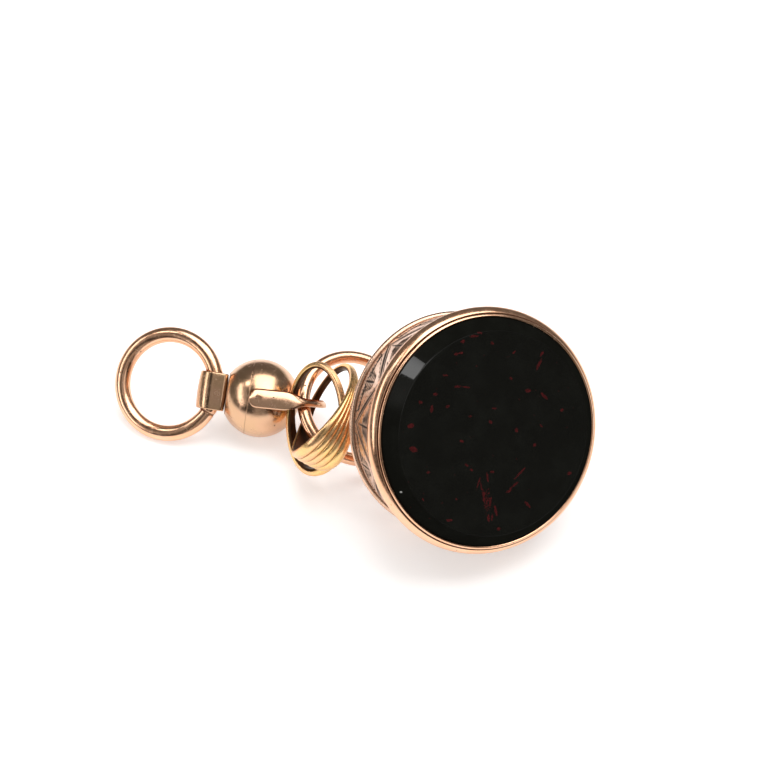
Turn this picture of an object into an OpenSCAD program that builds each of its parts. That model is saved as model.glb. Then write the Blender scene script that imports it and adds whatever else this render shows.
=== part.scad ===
// Pocket watch fob: a bloodstone seal head hung on knot links, with a ball swivel and a ring for the watch.
// The fob lies on a flat surface, z = 0, as it was put down: the stone faces forward and up.

/* [Stone] */
// Radius of the stone at the collar
stone_r = 10.36; // [9.5:0.02:12]
// Height of the flat table above the collar
stone_table_h = 1.28; // [0.8:0.02:1.5]
// Width of the sloping bevel round the table
stone_bevel_w = 1.04; // [0.6:0.02:1.6]
// Depth of the stone below the collar's edge
stone_depth = 1.5; // [1.0:0.05:1.8]

/* [Bezel] */
// Width of the thin collar burnished against the stone
collar_w = 0.3; // [0.2:0.02:0.4]
// Height of the collar above the stone's shoulder
collar_h = 0.12; // [0.05:0.01:0.2]
// Width of the dark groove between collar and lip
groove_w = 0.15; // [0.1:0.01:0.25]
// Depth of that groove
groove_depth = 0.5; // [0.2:0.05:0.8]
// Width of the rolled lip outside the groove
lip_w = 0.44; // [0.36:0.02:0.7]
// Distance of the lip's widest line behind the collar
lip_drop = 1.1; // [0.7:0.05:1.4]
// Distance of the lip's back edge behind the collar
lip_back = 2.0; // [1.7:0.05:2.6]

/* [Seal body] */
// Step in from the lip to the engraved wall
wall_step = 0.5; // [0.3:0.05:0.8]
// Length of the engraved wall behind the lip
wall_len = 5.5; // [4:0.1:8]
// Amount the wall's radius shrinks towards the back
wall_taper = 0.95; // [0.4:0.05:1.6]
// Thickness of the sheet gold wall and dome
sheet_t = 0.45; // [0.35:0.05:0.6]
// Thickness of the disc behind the stone
backing_t = 0.4; // [0.3:0.05:0.8]
// Thickness of the cement bed behind that disc
cement_t = 2.4; // [1:0.1:3]
// Radius of the moulding wire at the back of the wall
bead_r = 0.38; // [0.25:0.02:0.5]
// Step in from the wall to the domed back
dome_step = 0.2; // [0.1:0.05:0.4]
// Length of the domed back
dome_len = 5.1; // [4:0.1:8]
// Radius of the stem where it leaves the dome
stem_r = 1.7; // [1.3:0.05:2.2]
// Length of the turned stem
stem_len = 1.9; // [1.5:0.1:4]
// Radius of the knop on the stem
knop_r = 2.3; // [1.9:0.05:3]
// Half height of the knop
knop_h = 0.55; // [0.4:0.05:0.7]
// Radius of the stem's eye to the middle of its wire
eye_r = 1.55; // [1.45:0.05:2.2]
// Radius of the eye's wire
eye_wire_r = 0.5; // [0.4:0.02:0.6]
// Radius of the foot that joins the eye to the stem
eye_foot_r = 1.2; // [0.9:0.05:1.4]

/* [Connecting ring] */
// Radius of the plain ring to the middle of its wire
link_ring_r = 5.1; // [4.8:0.05:5.4]
// Radius of its wire
link_ring_wire_r = 0.6; // [0.45:0.02:0.66]

/* [Knot links] */
// Long radius of a knot link to the middle of its band
knot_r = 5.07; // [4.97:0.02:5.17]
// Short radius of the first link
first_knot_short_r = 3.25; // [3.15:0.01:3.35]
// Short radius of the second link
second_knot_short_r = 4.08; // [3.98:0.01:4.18]
// Thickness of the band at its narrowest place
knot_narrow_t = 0.6; // [0.5:0.01:0.62]
// Thickness of the band at its widest place
knot_wide_t = 0.75; // [0.68:0.01:0.8]
// Width of the band at its narrowest place
knot_narrow_w = 0.65; // [0.55:0.01:0.7]
// Width of the first link's band at its widest place
first_knot_wide_w = 1.5; // [1.2:0.05:1.6]
// Width of the second link's band at its widest place
second_knot_wide_w = 4.0; // [3.0:0.1:4.1]
// Depth of the flutes at the widest place
flute_depth = 0.2; // [0.1:0.02:0.26]
// Thickness of the plain inner lining
lining_t = 0.2; // [0.16:0.01:0.24]
// Setback of the lining's rounded edges from the band's edges
lining_inset = 0.08; // [0.05:0.01:0.12]

/* [Bow] */
// Width of the flat bow band at its ears
bow_w = 1.8; // [1.4:0.05:2.0]
// Width of the bow band at its bend
bow_end_w = 0.7; // [0.5:0.05:1.0]
// Thickness of the bow band
bow_t = 0.4; // [0.3:0.02:0.5]
// Reach of the bow from its pivot to the outside of the bend
bow_reach = 6.2; // [6:0.1:7]
// Distance from the pivot at which the band starts to narrow
bow_waist_at = 2.2; // [1.5:0.1:3]
// Distance from the pivot at which the band is at its narrowest
bow_end_at = 4.8; // [4.4:0.1:5.4]
// Play between the bow's legs and the ball
bow_play = 0.12; // [0.08:0.01:0.3]
// Radius of the bow's rounded corners, outside
bow_corner_r = 3.4; // [2.5:0.1:3.6]
// Radius of the cross pin
pin_r = 0.42; // [0.35:0.01:0.5]

/* [Ball swivel] */
// Radius of the ball
ball_r = 3.65; // [3.4:0.05:4]
// Thickness of the ball's two cups
cup_t = 0.5; // [0.4:0.05:0.7]
// Distance of the ball's flat seat from its centre
seat_at = 3.1; // [3:0.02:3.2]
// Distance of the seam between the cups from the centre
seam_at = 1.0; // [0.8:0.05:1.3]
// Radius of the swivel post
post_r = 0.57; // [0.5:0.01:0.7]
// Thickness of the flange round the post's hole
flange_t = 0.35; // [0.3:0.05:0.5]
// Radius of the washer and rivet head inside
rivet_r = 1.05; // [0.9:0.05:1.4]
// Thickness of the washer
washer_t = 0.2; // [0.15:0.05:0.3]
// Thickness of the rivet head
rivet_t = 0.4; // [0.3:0.05:0.6]

/* [Swivel strap] */
// Width of the strap
strap_w = 3.5; // [3:0.1:3.8]
// Thickness of the strap
strap_t = 0.35; // [0.28:0.01:0.4]
// Thickness of the strap's base plate on the ball's seat
strap_base_t = 0.25; // [0.2:0.01:0.35]
// Reach of the strap from the ball's centre
strap_reach = 5.9; // [5.85:0.05:6.5]
// Rounding of the strap's outer corners
strap_corner_r = 0.6; // [0.4:0.05:1]

/* [Watch ring] */
// Radius of the watch ring to the middle of its wire
watch_ring_r = 4.6; // [4.4:0.02:5]
// Radius of its wire
watch_wire_r = 0.75; // [0.6:0.01:0.78]

/* [Clearances] */
// Radial running clearance of a turning fit
run_gap = 0.03; // [0.02:0.01:0.05]
// Gap between two pieces that touch loosely
rest_gap = 0.1; // [0.06:0.01:0.15]
// Gap between pieces soldered or burnished together
seat_gap = 0.01; // [0:0.005:0.02]
// Side play of the watch ring's wire in the strap
strap_play = 0.38; // [0.34:0.01:0.5]

/* [Pose] */
// Turn of the seal to the right of the viewer
seal_turn = 30.75; // [29.75:0.1:31.75]
// Tilt of the stone upwards
seal_tilt = 38.5; // [37.5:0.1:39.5]
// Place of the stone from left to right
stone_x = 12.257; // [10.26:0.01:14.26]
// Place of the stone from front to back
stone_y = -4.989; // [-6.99:0.01:-2.99]
// Roll of the stem's eye round the seal's axis
eye_roll = -24.6; // [-25.6:0.1:-23.6]
// Distance the connecting ring hangs back from the eye's centre
eye_pull = -0.03; // [-0.06:0.01:0]
// Distance it lies to the side of the eye's centre
eye_side = 0.35; // [0.32:0.01:0.38]
// Turn of the connecting ring, from the eye to its centre
ring_turn = -76.13; // [-76.63:0.05:-75.63]
// Tilt of that line
ring_tilt = 17.01; // [16.51:0.05:17.51]
// Turn of the connecting ring's own axis
ring_axis_turn = 50.58; // [50.08:0.05:51.08]
// Tilt of that axis
ring_axis_tilt = 62.94; // [62.44:0.05:63.44]
// Place on the connecting ring where the second link hangs
second_hook_turn = 201.8; // [200.8:0.1:202.8]
// Slack of the second link there
second_slack = 1.18; // [1.14:0.01:1.22]
// Turn of the second link, from that place to its centre
second_turn = 74.92; // [74.42:0.05:75.42]
// Tilt of that line
second_tilt = 54.66; // [54.16:0.05:55.16]
// Turn of the second link's own axis
second_axis_turn = -97.43; // [-97.93:0.05:-96.93]
// Tilt of that axis
second_axis_tilt = 35.04; // [34.54:0.05:35.54]
// Turn of its broad side
second_wide_turn = -8.43; // [-8.93:0.05:-7.93]
// Tilt of its broad side
second_wide_tilt = -1.42; // [-1.92:0.05:-0.92]
// Place on the second link where the first link hangs
first_hook_turn = 274.9; // [274.4:0.05:275.4]
// Slack of the first link there
first_slack = 1.32; // [1.28:0.01:1.36]
// Turn of the first link, from that place to its centre
first_turn = 89.61; // [89.11:0.05:90.11]
// Tilt of that line
first_tilt = 63.46; // [62.96:0.05:63.96]
// Turn of the first link's own axis
first_axis_turn = -48.96; // [-49.46:0.05:-48.46]
// Tilt of that axis
first_axis_tilt = 28.67; // [28.17:0.05:29.17]
// Turn of its broad side
first_wide_turn = -9.55; // [-10.05:0.05:-9.05]
// Tilt of its broad side
first_wide_tilt = -54.71; // [-55.21:0.05:-54.21]
// Place on the first link that hangs in the bow
bow_hook_turn = 260.7; // [260.2:0.05:261.2]
// Slack of the bow along its own length
bow_slack = 2.46; // [2.42:0.01:2.5]
// Distance of that place above the bow's middle
bow_shift = 2.9; // [2.86:0.01:2.94]
// Turn of the ball's swivel
swivel_turn = -96.81; // [-97.81:0.1:-95.81]
// Tilt of the ball's swivel
swivel_tilt = 5.68; // [4.68:0.1:6.68]
// Turn of the cross pin
pin_turn = 0; // [-1:0.1:1]
// Tilt of the cross pin
pin_tilt = 50; // [49:0.1:51]
// Turn of the bow
bow_turn = 85.69; // [85.19:0.05:86.19]
// Tilt of the bow
bow_tilt = -3.61; // [-4.11:0.05:-3.11]
// Lean of the watch ring out of line with the swivel
watch_fold = -17; // [-23:0.5:-11]

/* [Hidden] */
$fn = 96;
// Facet counts: steps round a knot link, across one flute, along a taper and round the bow's ear
link_steps = 48;
flute_steps = 4;
taper_steps = 12;
ear_steps = 16;
// Part of a band's width that each of its flutes takes
flute_shares = [0.26, 0.17, 0.16, 0.17, 0.24];
// How sharply a link's band swells towards its widest place
swell_power = 2.5;
// How square the band's crown is
crown_power = 3;

// Sizes of the seal, measured back from the collar's plane along its axis
collar_r = stone_r + seat_gap + collar_w;
groove_r = stone_r + collar_w + groove_w;
lip_r = groove_r + lip_w;
wall_r = lip_r - wall_step;
wall_back_r = wall_r - wall_taper;
wall_back = lip_back + wall_len;
dome_front = wall_back + 2 * bead_r;
dome_back = dome_front + dome_len;
stem_back = dome_back + stem_len;
eye_back = stem_back + eye_r + eye_wire_r;
disc_front = stone_depth + seat_gap;
disc_back = disc_front + backing_t;
cement_back = disc_back + cement_t;
crown_t = 2 * sheet_t;
lip_edge_r = lip_r - collar_w;

// Sizes of the ball and what turns in it
cavity_r = ball_r - cup_t;
leg_in = ball_r + bow_play;
leg_out = leg_in + bow_t;
flange_at = seat_at - flange_t;
washer_top = flange_at - run_gap;
rivet_top = washer_top - washer_t - seat_gap;
strap_base_at = seat_at + run_gap;
strap_floor_at = strap_base_at + strap_base_t;
strap_in_h = watch_wire_r + strap_play;
strap_out_h = strap_in_h + strap_t;
watch_at = strap_floor_at + watch_wire_r + rest_gap;

// Directions and frames
function unit(v) = v / norm(v);
function along(turn, tilt) = [sin(turn) * cos(tilt), -cos(turn) * cos(tilt), sin(tilt)];
function square_to(v, a) = unit(v - (v * a) * a);
function frame(o, z, toward) =
    let(x = square_to(toward, z), y = cross(z, x))
    [[x[0], y[0], z[0], o[0]], [x[1], y[1], z[1], o[1]], [x[2], y[2], z[2], o[2]], [0, 0, 0, 1]];
function col(m, k) = [m[0][k], m[1][k], m[2][k]];
function at(m) = col(m, 3);
function on_oval(m, long_r, short_r, a) =
    at(m) + long_r * cos(a) * col(m, 0) + short_r * sin(a) * col(m, 1);

// The chain, worked out from the seal to the watch ring; every link hangs on the one before it
seal_axis = along(seal_turn, seal_tilt);
bead_height = (wall_back + bead_r) * sin(seal_tilt) + wall_back_r * cos(seal_tilt) + bead_r;
seal_at = [stone_x, stone_y, bead_height];
seal_frame = frame(seal_at, seal_axis, [0, 0, 1]);
eye_at = seal_at - eye_back * seal_axis;
side_way = cos(eye_roll) * col(seal_frame, 1) - sin(eye_roll) * col(seal_frame, 0);
pass_at = eye_at - eye_pull * seal_axis + eye_side * side_way;
ring_way = along(ring_turn, ring_tilt);
ring_frame = frame(pass_at + link_ring_r * ring_way, square_to(along(ring_axis_turn, ring_axis_tilt), ring_way),
    -ring_way);

second_hook = on_oval(ring_frame, link_ring_r, link_ring_r, second_hook_turn);
second_hang = knot_r - link_ring_wire_r - knot_narrow_t / 2 - second_slack;
second_frame = frame(second_hook + second_hang * along(second_turn, second_tilt),
    along(second_axis_turn, second_axis_tilt), along(second_wide_turn, second_wide_tilt));

first_hook = on_oval(second_frame, knot_r, second_knot_short_r, first_hook_turn);
first_hang = knot_r - knot_wide_t - first_slack;
first_frame = frame(first_hook + first_hang * along(first_turn, first_tilt),
    along(first_axis_turn, first_axis_tilt), along(first_wide_turn, first_wide_tilt));

swivel_way = along(swivel_turn, swivel_tilt);
pin_way = square_to(along(pin_turn, pin_tilt), swivel_way);
bow_way = square_to(along(bow_turn, bow_tilt), pin_way);
bow_hook = on_oval(first_frame, knot_r, first_knot_short_r, bow_hook_turn);
ball_from = bow_hook - (bow_reach - bow_t - knot_narrow_w / 2 - bow_slack) * bow_way - bow_shift * pin_way;
leg_drop = leg_out * pin_way[2] + bow_w / 2 * abs(cross(bow_way, pin_way)[2]) - bow_waist_at * min(0, bow_way[2]);
ball_at = [ball_from[0], ball_from[1], max(ball_r, leg_drop)];
bow_frame = frame(ball_at, cross(bow_way, pin_way), bow_way);
swivel_frame = frame(ball_at, swivel_way, cross(swivel_way, pin_way));
hole_way = cross(swivel_way, pin_way);
watch_way = swivel_way * cos(watch_fold) + pin_way * sin(watch_fold);
watch_frame = frame(ball_at + watch_at * swivel_way + watch_ring_r * watch_way, cross(watch_way, hole_way), watch_way);

// Colours of the metals, the stone and the cement
gold = [0.86, 0.62, 0.42];
yellow_gold = [0.90, 0.70, 0.34];
worn_gold = [0.66, 0.56, 0.42];
bloodstone = [0.03, 0.06, 0.05];
red_cement = [0.35, 0.12, 0.08];
steel = [0.62, 0.62, 0.63];

// Shapes that several pieces share
module turned(points) {
    rotate_extrude()
    polygon(points);
}

module wire_ring(r, wire_r) {
    rotate_extrude()
    translate([r, 0])
    circle(r = wire_r);
}

// Seal head: each profile is [radius, height], with height running forward from the collar's plane
module stone() {
    color(bloodstone)
    multmatrix(seal_frame)
    turned([[0, -stone_depth], [stone_r, -stone_depth], [stone_r, 0], [stone_r - stone_bevel_w, stone_table_h],
        [0, stone_table_h]]);
}

module stone_collar() {
    color(gold)
    multmatrix(seal_frame)
    turned([[stone_r + seat_gap, -stone_depth], [collar_r, -stone_depth], [collar_r, 0],
        [stone_r + collar_w / 2, collar_h], [stone_r + seat_gap, collar_h / 2]]);
}

module bezel_lip() {
    color(gold)
    multmatrix(seal_frame)
    difference() {
        union() {
            translate([0, 0, -lip_back])
            cylinder(r1 = lip_edge_r, r2 = lip_r, h = lip_back - lip_drop);
            translate([0, 0, -lip_drop])
            rotate_extrude()
            union() {
                square([groove_r, lip_drop - collar_h]);
                intersection() {
                    translate([lip_r - lip_drop, 0])
                    circle(r = lip_drop);
                    square([lip_r, lip_drop]);
                }
            }
        }
        translate([0, 0, -lip_back - lip_drop])
        cylinder(r = collar_r + seat_gap, h = lip_back + 2 * lip_drop);
        translate([0, 0, -groove_depth])
        cylinder(r = groove_r, h = lip_back);
    }
}

module engraved_wall() {
    color(gold)
    multmatrix(seal_frame)
    turned([[wall_back_r - sheet_t, -wall_back], [wall_back_r, -wall_back], [wall_r, -lip_back],
        [wall_r - sheet_t, -lip_back]]);
}

function wall_bore(back) = wall_r - sheet_t - seat_gap - wall_taper * max(0, back - lip_back) / wall_len;

module backing_disc() {
    color(steel)
    multmatrix(seal_frame)
    turned([[0, -disc_back], [wall_bore(disc_back), -disc_back], [wall_bore(disc_back), -disc_front],
        [0, -disc_front]]);
}

module cement_bed() {
    color(red_cement)
    multmatrix(seal_frame)
    turned([[0, -cement_back], [wall_bore(cement_back), -cement_back], [wall_bore(disc_back), -disc_back - seat_gap],
        [0, -disc_back - seat_gap]]);
}

module shoulder_bead() {
    color(gold)
    multmatrix(seal_frame)
    translate([0, 0, -wall_back - bead_r])
    rotate_extrude()
    union() {
        translate([wall_back_r - sheet_t, -bead_r])
        square([sheet_t, 2 * bead_r]);
        translate([wall_back_r, 0])
        circle(r = bead_r);
    }
}

// Ogee from the wall down to the stem, as a share of the way from the stem's radius
function ogee(t) = (1 + cos(180 * t)) / 2;

module back_dome() {
    outer_r = wall_back_r - dome_step;
    inner_r = outer_r - sheet_t;
    outer = [for (i = [0:taper_steps]) let(t = i / taper_steps)
        [stem_r + (outer_r - stem_r) * ogee(t), -dome_front - dome_len * t]];
    inner = [for (i = [taper_steps:-1:0]) let(t = i / taper_steps)
        [inner_r * ogee(t), -dome_front - (dome_len - crown_t) * t]];
    color(gold)
    multmatrix(seal_frame)
    turned(concat(outer, [[0, -dome_back]], inner));
}

module stem() {
    neck_r = stem_r - knop_h / 2;
    color(gold)
    multmatrix(seal_frame)
    union() {
        translate([0, 0, -stem_back])
        cylinder(r = neck_r, h = stem_len);
        translate([0, 0, -dome_back - stem_len / 2])
        rotate_extrude()
        union() {
            translate([0, -knop_h])
            square([knop_r - knop_h, 2 * knop_h]);
            translate([knop_r - knop_h, 0])
            circle(r = knop_h);
        }
    }
}

module stem_eye() {
    color(gold)
    multmatrix(seal_frame)
    translate([0, 0, -eye_back])
    rotate([0, 0, eye_roll])
    union() {
        rotate([0, 90, 0])
        wire_ring(eye_r, eye_wire_r);
        translate([0, 0, eye_r])
        cylinder(r = eye_foot_r, h = eye_wire_r);
    }
}

module connecting_ring() {
    color(gold)
    multmatrix(ring_frame)
    wire_ring(link_ring_r, link_ring_wire_r);
}

// Knot links: an oval band that swells from a thin wire to a broad fluted face
function swell(a) = pow((1 + cos(a)) / 2, swell_power);
function band_w(a, wide_w) = knot_narrow_w + (wide_w - knot_narrow_w) * swell(a);
function band_t(a) = knot_narrow_t + (knot_wide_t - knot_narrow_t) * swell(a);
function before(i) = i == 0 ? 0 : flute_shares[i - 1] + before(i - 1);
function crown(s) = pow(1 - pow(abs(s), crown_power), 1 / crown_power);
function outward(a, short_r) = unit([short_r * cos(a), knot_r * sin(a), 0]);

// A point of a link's section: s runs from -1 to 1 across the band, rise is its height over the centreline
function band_point(a, short_r, half_w, s, rise) =
    [knot_r * cos(a), short_r * sin(a), 0] + rise * outward(a, short_r) + [0, 0, s * half_w];

function flute_section(a, short_r, wide_w) =
    let(w = band_w(a, wide_w) / 2, t = band_t(a), deep = flute_depth * swell(a), floor = lining_t - t / 2,
        body = t - lining_t - deep)
    [for (i = [0:len(flute_shares) - 1]) for (k = [0:flute_steps - (i == len(flute_shares) - 1 ? 0 : 1)])
        let(q = k / flute_steps, s = -1 + 2 * (before(i) + flute_shares[i] * q),
            bulge = deep * sqrt(1 - pow(2 * q - 1, 2)))
        band_point(a, short_r, w, s, floor + body * crown(min(1, abs(s))) + bulge)];

function lining_section(a, short_r, wide_w) =
    let(w = band_w(a, wide_w) / 2 - lining_inset, t = band_t(a), top = lining_t - t / 2 - seat_gap)
    [band_point(a, short_r, w, -1, top), band_point(a, short_r, w, 1, top),
        band_point(a, short_r, w, 1, -t / 2 + lining_inset), band_point(a, short_r, w - lining_inset, 1, -t / 2),
        band_point(a, short_r, w - lining_inset, -1, -t / 2), band_point(a, short_r, w, -1, -t / 2 + lining_inset)];

module looped(sections) {
    n = len(sections);
    m = len(sections[0]);
    points = [for (section = sections) for (p = section) p];
    faces = [for (i = [0:n - 1]) for (j = [0:m - 1])
        let(a = i * m + j, b = i * m + (j + 1) % m, c = ((i + 1) % n) * m + (j + 1) % m, d = ((i + 1) % n) * m + j)
        for (f = [[a, b, c], [a, c, d]]) f];
    polyhedron(points = points, faces = faces, convexity = 6);
}

function round_link() = [for (i = [0:link_steps - 1]) 360 * i / link_steps];

module knot_cover(short_r, wide_w) {
    looped([for (a = round_link()) flute_section(a, short_r, wide_w)]);
}

module knot_lining(short_r, wide_w) {
    looped([for (a = round_link()) lining_section(a, short_r, wide_w)]);
}

module second_knot_cover() {
    color(yellow_gold)
    multmatrix(second_frame)
    knot_cover(second_knot_short_r, second_knot_wide_w);
}

module second_knot_lining() {
    color(worn_gold)
    multmatrix(second_frame)
    knot_lining(second_knot_short_r, second_knot_wide_w);
}

module first_knot_cover() {
    color(yellow_gold)
    multmatrix(first_frame)
    knot_cover(first_knot_short_r, first_knot_wide_w);
}

module first_knot_lining() {
    color(worn_gold)
    multmatrix(first_frame)
    knot_lining(first_knot_short_r, first_knot_wide_w);
}

// Bow: x runs from the pivot to the bend, y along the cross pin and z across the band
module bow_outline(reach, half_h, corner_r) {
    translate([-bow_w, -half_h])
    square([bow_w + reach - corner_r, 2 * half_h]);
    translate([0, corner_r - half_h])
    square([reach, 2 * (half_h - corner_r)]);
    for (side = [-1, 1])
        translate([reach - corner_r, side * (half_h - corner_r)])
        circle(r = corner_r);
}

function bow_half_w(x) =
    let(t = max(0, min(1, (x - bow_waist_at) / (bow_end_at - bow_waist_at))))
    (bow_end_w + (bow_w - bow_end_w) * ogee(t)) / 2;

module bow_side() {
    polygon(concat([for (i = [0:taper_steps]) let(x = bow_reach * i / taper_steps) [x, bow_half_w(x)]],
        [for (i = [taper_steps:-1:0]) let(x = bow_reach * i / taper_steps) [x, -bow_half_w(x)]],
        [for (i = [1:ear_steps - 1]) let(a = -90 - 180 * i / ear_steps) bow_w / 2 * [cos(a), sin(a)]]));
}

module bow() {
    color(worn_gold)
    multmatrix(bow_frame)
    difference() {
        intersection() {
            linear_extrude(height = bow_w, center = true)
            difference() {
                bow_outline(bow_reach, leg_out, bow_corner_r);
                bow_outline(bow_reach - bow_t, leg_in, bow_corner_r - bow_t);
            }
            rotate([90, 0, 0])
            linear_extrude(height = 2 * leg_out + bow_t, center = true)
            bow_side();
        }
        rotate([90, 0, 0])
        cylinder(r = pin_r + seat_gap, h = 2 * leg_out + bow_t, center = true);
    }
}

module cross_pin() {
    color(steel)
    multmatrix(bow_frame)
    rotate([90, 0, 0])
    cylinder(r = pin_r, h = 2 * leg_out, center = true);
}

// Ball: z runs from the ball's centre to the strap, and y lies along the cross pin
module pin_hole() {
    rotate([90, 0, 0])
    cylinder(r = pin_r + run_gap, h = 2 * leg_out, center = true);
}

module bow_cup() {
    color(worn_gold)
    multmatrix(swivel_frame)
    difference() {
        intersection() {
            sphere(r = ball_r);
            translate([0, 0, -ball_r])
            cylinder(r = ball_r, h = ball_r + seam_at);
        }
        sphere(r = cavity_r);
        pin_hole();
    }
}

module strap_cup() {
    color(worn_gold)
    multmatrix(swivel_frame)
    difference() {
        intersection() {
            sphere(r = ball_r);
            translate([0, 0, seam_at + seat_gap])
            cylinder(r = ball_r, h = seat_at - seam_at - seat_gap);
        }
        intersection() {
            sphere(r = cavity_r);
            cylinder(r = ball_r, h = flange_at);
        }
        cylinder(r = post_r + run_gap, h = ball_r);
    }
}

module swivel_post() {
    color(steel)
    multmatrix(swivel_frame)
    union() {
        translate([0, 0, rivet_top - rivet_t])
        cylinder(r = rivet_r, h = rivet_t);
        translate([0, 0, rivet_top - rivet_t])
        cylinder(r = post_r, h = strap_floor_at - rivet_top + rivet_t);
    }
}

module swivel_washer() {
    color(steel)
    multmatrix(swivel_frame)
    translate([0, 0, washer_top - washer_t])
    difference() {
        cylinder(r = rivet_r, h = washer_t);
        translate([0, 0, -washer_t])
        cylinder(r = post_r + seat_gap, h = 3 * washer_t);
    }
}

// Strap: its outline lies in the plane of the swivel post and the cross pin
module strap_outline(from, to, half_h, corner_r) {
    translate([from, -half_h])
    square([to - from - corner_r, 2 * half_h]);
    translate([from, corner_r - half_h])
    square([to - from, 2 * (half_h - corner_r)]);
    for (side = [-1, 1])
        translate([to - corner_r, side * (half_h - corner_r)])
        circle(r = corner_r);
}

module swivel_strap() {
    color(worn_gold)
    multmatrix(swivel_frame)
    difference() {
        rotate([0, -90, 0])
        linear_extrude(height = strap_w, center = true)
        difference() {
            strap_outline(strap_base_at, strap_reach, strap_out_h, strap_corner_r);
            strap_outline(strap_floor_at, strap_reach - strap_t, strap_in_h, strap_corner_r - strap_t / 2);
        }
        cylinder(r = post_r + seat_gap, h = strap_floor_at + strap_base_t);
    }
}

module watch_ring() {
    color(gold)
    multmatrix(watch_frame)
    wire_ring(watch_ring_r, watch_wire_r);
}

stone();
stone_collar();
bezel_lip();
engraved_wall();
backing_disc();
cement_bed();
shoulder_bead();
back_dome();
stem();
stem_eye();
connecting_ring();
second_knot_cover();
second_knot_lining();
first_knot_cover();
first_knot_lining();
bow();
cross_pin();
bow_cup();
strap_cup();
swivel_post();
swivel_washer();
swivel_strap();
watch_ring();
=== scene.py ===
import math

import bpy
import numpy as np
from mathutils import Matrix, Vector


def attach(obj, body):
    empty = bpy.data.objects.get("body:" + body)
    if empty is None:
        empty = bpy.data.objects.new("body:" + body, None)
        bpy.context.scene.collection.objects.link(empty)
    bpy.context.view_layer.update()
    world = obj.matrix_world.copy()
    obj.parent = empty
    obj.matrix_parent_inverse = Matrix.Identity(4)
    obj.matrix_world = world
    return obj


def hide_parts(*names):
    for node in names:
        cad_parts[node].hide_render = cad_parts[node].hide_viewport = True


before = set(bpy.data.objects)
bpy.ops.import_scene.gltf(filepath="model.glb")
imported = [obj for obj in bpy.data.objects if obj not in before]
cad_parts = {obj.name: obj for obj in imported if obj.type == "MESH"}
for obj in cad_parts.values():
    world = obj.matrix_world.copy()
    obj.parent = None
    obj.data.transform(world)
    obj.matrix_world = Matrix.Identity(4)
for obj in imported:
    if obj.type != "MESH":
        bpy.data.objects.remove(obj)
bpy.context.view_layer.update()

print("frame loaded:", len(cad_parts), "nodes")

# Lengths below are in millimetres in each piece's own axes; mm turns them into metres.
mm = 0.001

# Where each loose part lies: its centre, its axis and the direction of its own x.
places = {
    "seal": {"centre": (12.257, -4.989, 12.95498), "axis": (0.40014, -0.67258, 0.62251), "toward": (0, 0, 1)},
    "connectingRing": {"centre": (0.28798, 5.37931, 3.80389), "axis": (0.35187, -0.28877, 0.89039),
                       "toward": (0.92837, 0.22923, -0.29254)},
    "secondKnot": {"centre": (-2.21159, 2.08332, 6.96768), "axis": (-0.81188, 0.10588, 0.57415),
                   "toward": (-0.14651, -0.9889, -0.02481)},
    "firstKnot": {"centre": (-3.23198, 2.06978, 6.31403), "axis": (-0.66178, -0.57609, 0.47976),
                  "toward": (-0.09583, -0.56969, -0.81625)},
    "bow": {"centre": (-8.53866, 6.50681, 3.90858), "axis": (-0.09793, -0.76236, -0.6397),
            "toward": (0.99519, -0.07504, -0.06293)},
    "swivel": {"centre": (-8.53866, 6.50681, 3.90858), "axis": (-0.98807, 0.118, 0.09897),
               "toward": (0.15401, 0.75691, 0.63512)},
    "watchRing": {"centre": (-17.06468, 8.38948, 3.73235), "axis": (0.28891, 0.5802, -0.76151),
                  "toward": (-0.94489, 0.30077, -0.12932)},
}


def unit(v):
    v = np.asarray(v, float)
    return v / np.linalg.norm(v, axis=-1, keepdims=True)


def inPlace(points, place):
    # Own x, y, z of a piece to the shared frame: centre + x*side + y*(axis cross side) + z*axis.
    p = places[place]
    z = unit(p["axis"])
    x = unit(np.array(p["toward"], float) - np.dot(p["toward"], z) * z)
    return np.array(p["centre"]) + points @ np.array([x, np.cross(z, x), z])


def smoothStep(low, high, x):
    t = np.clip((x - low) / (high - low), 0, 1)
    return t * t * (3 - 2 * t)


def fullTurn(count):
    return np.linspace(0, 2 * np.pi, count, endpoint=False)


# Surfaces

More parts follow.
